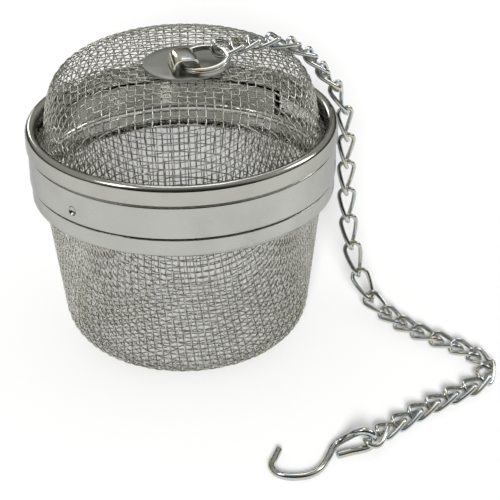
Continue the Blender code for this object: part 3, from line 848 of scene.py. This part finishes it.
def make_band(material):
    low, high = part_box("lid_band")
    outer = high.x
    near = 1.6 * MM  # the rows lie close together only this near to the dimples' middle
    rows = np.concatenate([
        np.linspace(BAND_SHOULDER_Z - 0.3 * MM, DIMPLE_Z + near + 0.1 * MM, 4),
        np.linspace(DIMPLE_Z + near, DIMPLE_Z - near, 25),
        [DIMPLE_Z - near - 0.2 * MM, low.z + SHEET / 2.0],
    ])
    line = [(outer - SHEET, high.z - SHEET / 2.0)]
    line += [(outer - step, BAND_SHOULDER_Z + rise) for step, rise in BAND_SHOULDER]
    line += [(outer, z) for z in rows]
    coarse = np.radians(np.arange(0.0, 360.0, 2.0))
    fine = [np.radians(np.arange(-3.0, 3.01, 0.2)) + place for place in DIMPLE_ANGLES]
    angles = np.unique(np.round(np.mod(np.concatenate([coarse] + fine), TAU), 6))
    points, faces = revolve(sheet_outline(line, SHEET), angles, dimple_shape(outer))
    add_piece("lid_skirt_band", points, faces, material, "lid", ("lid_band",))


def make_collar(material):
    low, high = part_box("basket_collar")
    outer = high.x
    line = [(COLLAR_TOP_RADIUS, high.z)]
    line += arc((outer - COLLAR_ROLL, high.z - COLLAR_ROLL), COLLAR_ROLL, 90.0, 0.0, 7)
    line += arc((outer - COLLAR_CORNER, low.z + COLLAR_CORNER), COLLAR_CORNER, 0.0, -90.0, 10)
    line.append((COLLAR_FOOT_RADIUS, low.z))
    points, faces = revolve(sheet_outline(line, SHEET))
    add_piece("basket_rolled_collar", points, faces, material, "basket", ("basket_collar",))


def sector(inner, outer, bottom, top, start, end):
    """A block between two radii, two heights and two angles, as a cutter with a facet every 3 degrees."""
    steps = max(3, round(math.degrees(end - start) / 3.0))
    turns = np.linspace(start, end, steps + 1)
    corners = ((inner, bottom), (outer, bottom), (outer, top), (inner, top))
    points = [(r * math.cos(a), r * math.sin(a), z) for a in turns for r, z in corners]
    faces = grid_faces(steps + 1, 4, False)
    faces += [(0, 1, 2, 3), tuple(4 * steps + k for k in (3, 2, 1, 0))]
    mesh = bpy.data.meshes.new("cutter")
    mesh.from_pydata(points, [], faces)
    bm = bmesh.new()
    bm.from_mesh(mesh)
    bmesh.ops.recalc_face_normals(bm, faces=bm.faces)
    bm.to_mesh(mesh)
    bm.free()
    return mesh


def make_neck(material):
    """The sleeve with its bead, and the two L-shaped slots cut out of it."""
    low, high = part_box("basket_neck")
    groove_z = DIMPLE_Z - SLOT_WIDTH / 2.0 - NECK_GROOVE - SHEET
    reach = 1.6 * NECK_GROOVE
    line = [(high.x, high.z - SHEET / 2.0), (high.x, groove_z + reach)]
    line += arc((high.x - 0.15 * NECK_GROOVE, groove_z), NECK_GROOVE, 100.0, 260.0, 14)
    line += [(high.x, groove_z - reach), (high.x, low.z + SHEET / 2.0)]
    points, faces = revolve(sheet_outline(line, SHEET))
    replaced = ("basket_neck",)
    piece = add_piece("basket_slotted_neck", points, faces, material, "basket", replaced)
    half_slot = SLOT_WIDTH / 2.0 / high.x
    radii = (high.x - 2.0 * MM, high.x + 1.0 * MM)
    bottom = DIMPLE_Z - SLOT_WIDTH / 2.0
    top = DIMPLE_Z + SLOT_WIDTH / 2.0
    cutters = []
    for angle in DIMPLE_ANGLES:
        # The second block ends a little short of the first one's side, so that they share no face.
        blocks = (
            sector(*radii, bottom, high.z + 1.0 * MM, angle - half_slot, angle + half_slot),
            sector(*radii, bottom, top, angle - TWIST - half_slot, angle + half_slot * 0.9),
        )
        for block in blocks:
            cutter = bpy.data.objects.new("cutter", block)
            bpy.context.collection.objects.link(cutter)
            modifier = piece.modifiers.new("slot", "BOOLEAN")
            modifier.operation = "DIFFERENCE"
            modifier.object = cutter
            cutters.append(cutter)
    apply_modifiers(piece)
    for cutter in cutters:
        bpy.data.objects.remove(cutter)
    piece.data.shade_smooth()
    piece.data.set_sharp_from_angle(angle=math.radians(35.0))


def apply_modifiers(piece):
    shape = piece.evaluated_get(bpy.context.evaluated_depsgraph_get())
    mesh = bpy.data.meshes.new_from_object(shape)
    piece.modifiers.clear()
    piece.data = mesh


# ---- anchor, ring, chain and hook ----
def make_disc(material):
    low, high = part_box("anchor_disc")
    centre = (low + high) / 2.0
    radius = (high.x - low.x) / 2.0
    corner = radius - DISC_EDGE
    outline = [(0.0, low.z), (corner, low.z)]
    outline += arc((corner, low.z + DISC_EDGE), DISC_EDGE, -90.0, 0.0, 4)[1:]
    outline += arc((corner, high.z - DISC_EDGE), DISC_EDGE, 0.0, 90.0, 4)
    outline += [(radius * 0.8, high.z), (radius * 0.4, high.z), (0.0, high.z)]
    points, faces = revolve(outline)
    points = points + (centre.x, centre.y, 0.0)
    add_piece("anchor_plate", points, faces, material, "lid", ("anchor_disc",))


def make_strap(material):
    low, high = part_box("anchor_strap")
    centre = (low + high) / 2.0
    rise = high.z - low.z

    def arch(half, height):
        turns = np.linspace(0.0, math.pi, 33)
        across = half * np.sign(np.cos(turns)) * np.abs(np.cos(turns)) ** STRAP_POWER
        return list(zip(across, height * np.sin(turns) ** STRAP_POWER))

    outline = arch(STRAP_SPAN / 2.0, rise) + arch(STRAP_SPAN / 2.0 - SHEET, rise - SHEET)[::-1]
    bm = bmesh.new()
    face = bm.faces.new([bm.verts.new((x, -STRAP_LENGTH / 2.0, z)) for x, z in outline])
    moved = bmesh.ops.extrude_face_region(bm, geom=[face])["geom"]
    tops = [item for item in moved if isinstance(item, bmesh.types.BMVert)]
    bmesh.ops.translate(bm, verts=tops, vec=(0.0, STRAP_LENGTH, 0.0))
    bmesh.ops.recalc_face_normals(bm, faces=bm.faces)
    rims = [e for e in bm.edges if e.calc_face_angle(0.0) > math.radians(50.0)]
    bmesh.ops.bevel(bm, geom=rims, offset=STRAP_BEVEL, segments=3, profile=0.5, affect="EDGES")
    turn = Matrix.Translation((centre.x, centre.y, low.z)) @ Matrix.Rotation(STRAP_TURN, 4, "Z")
    bmesh.ops.transform(bm, matrix=turn, verts=bm.verts)
    mesh = bpy.data.meshes.new("anchor_bent_strip")
    bm.to_mesh(mesh)
    bm.free()
    finish_piece("anchor_bent_strip", mesh, material, "lid", ("anchor_strap",))


def make_split_ring(material):
    """Two flat coils of one wire, one on the other, which pass from level to level over a short stretch."""
    joint = next(j for j in frame["joints"] if j["name"] == "ring_turn")
    centre = np.array(joint["pos_m"])
    # A round piece's own axes across its normal are left to rounding, so they come from a fixed direction.
    normal = own_axes("split_ring")[3]
    normal = normal * np.sign(normal[2])
    first = unit(np.array(RING_ZERO) - np.dot(RING_ZERO, normal) * normal)
    second = np.cross(normal, first)
    turns = np.linspace(0.0, RING_WRAP, RING_STEPS)
    level = np.clip((turns - RING_CROSSING[0]) / RING_CROSSING[1], 0.0, 1.0)
    level = (level * level * (3.0 - 2.0 * level) - 0.5) * (RING_COIL + RING_COIL_GAP)
    angle = turns + RING_START
    radial = np.cos(angle)[:, None] * first + np.sin(angle)[:, None] * second
    path = centre + (RING_RADIUS - RING_WIDTH / 2.0) * radial + level[:, None] * normal
    reach = (RING_WIDTH / 2.0 - RING_EDGE, RING_COIL / 2.0 - RING_EDGE)
    section = []
    for sx, sy, start in ((1, -1, -90.0), (1, 1, 0.0), (-1, 1, 90.0), (-1, -1, 180.0)):
        section += arc((sx * reach[0], sy * reach[1]), RING_EDGE, start, start + 90.0, 4)
    section = np.array(section)
    rows = path[:, None] + section[None, :, :1] * radial[:, None] + section[None, :, 1:] * normal
    sides = len(section)
    faces = grid_faces(len(rows), sides, False)
    faces += [tuple(range(sides))[::-1], tuple((len(rows) - 1) * sides + k for k in range(sides))]
    add_piece("ring_two_coils", rows.reshape(-1, 3), faces, material, "ring", ("split_ring",))


def link_path():
    """A long oval of wire, twisted about its length."""
    half = (LINK_LENGTH - LINK_WIRE) / 2.0
    end_radius = (LINK_WIDTH - LINK_WIRE) / 2.0
    straight = half - end_radius
    flat = []
    for side in (-1.0, 1.0):
        for k in range(LINK_STRAIGHT_STEPS):
            flat.append((-side * straight * (1.0 - 2.0 * k / LINK_STRAIGHT_STEPS), side * end_radius))
        for k in range(LINK_BEND_STEPS):
            turn = math.pi * k / LINK_BEND_STEPS
            along = straight + end_radius * math.sin(turn)
            flat.append((side * along, side * end_radius * math.cos(turn)))
    points = []
    for x, y in flat:
        turn = LINK_TWIST / 2.0 * x / half
        points.append((x, y * math.cos(turn), y * math.sin(turn)))
    return np.array(points)


def make_links(material):
    points, faces = tube(link_path(), LINK_WIRE / 2.0, LINK_SIDES, closed=True)
    links = sorted(name for name in frame["nodes"] if name.startswith("link_"))
    for name in links:
        centre, along, across, normal = own_axes(name)
        placed = centre + points @ np.array([along, across, normal])
        add_piece(f"chain_{name}", placed, faces, material, f"{name}_body", (name,))


def make_hook(material):
    joint = next(j for j in frame["joints"] if j["name"] == "hook_swing")
    start = np.array([joint["pos_m"][0], joint["pos_m"][1], 0.0])
    path = smooth_path(HOOK_ROUTE, HOOK_STEPS) + start
    points, faces = tube(path, HOOK_WIRE / 2.0, HOOK_SIDES, chamfer=0.2)
    add_piece("hook_wire", points, faces, material, "hook_body", ("hook",))


# ---- the whole model ----
def main():
    make_camera()
    make_studio()
    cloth = wire_steel("woven_wire_steel", (0.56, 0.56, 0.52), roughness=0.14, grain=0.35)
    band = band_steel("band_sheet_steel", (0.495, 0.50, 0.465), roughness=0.20, brushing=0.35)
    # The neck is the band's sheet steel painted lighter: a painted highlight that makes up for the shade
    # inside the dome, where light only comes through the mesh.
    neck = band_steel("neck_steel_painted_bright", (0.72, 0.72, 0.68), roughness=0.13, brushing=0.25)
    rim = band_steel("rim_sheet_steel", (0.47, 0.47, 0.43), roughness=0.13, brushing=0.22)
    disc = band_steel("disc_sheet_steel", (0.355, 0.355, 0.33), roughness=0.34, brushing=0.15)
    strap = plated_steel("strap_strip_steel", (0.64, 0.63, 0.59), roughness=0.16)
    ring = plated_steel("split_ring_steel", (0.62, 0.61, 0.57), roughness=0.16)
    chain = plated_steel("chain_wire_steel", (0.58, 0.585, 0.57), roughness=0.12)
    hook = plated_steel("hook_wire_steel", (0.58, 0.59, 0.58), roughness=0.12)

    make_cloth(
        "basket", cup_profile(), CUP_PITCH, CUP_TURN, CUP_WALL_START,
        cloth, "basket", "basket_mesh", together=False,
    )
    make_cloth(
        "lid", dome_profile(), DOME_PITCH, DOME_TURN, DOME_WALL_START,
        cloth, "lid", "lid_mesh", together=True,
    )
    make_rim(rim)
    make_band(band)
    make_collar(band)
    make_neck(neck)
    make_disc(disc)
    make_strap(strap)
    make_split_ring(ring)
    make_links(chain)
    make_hook(hook)


main()
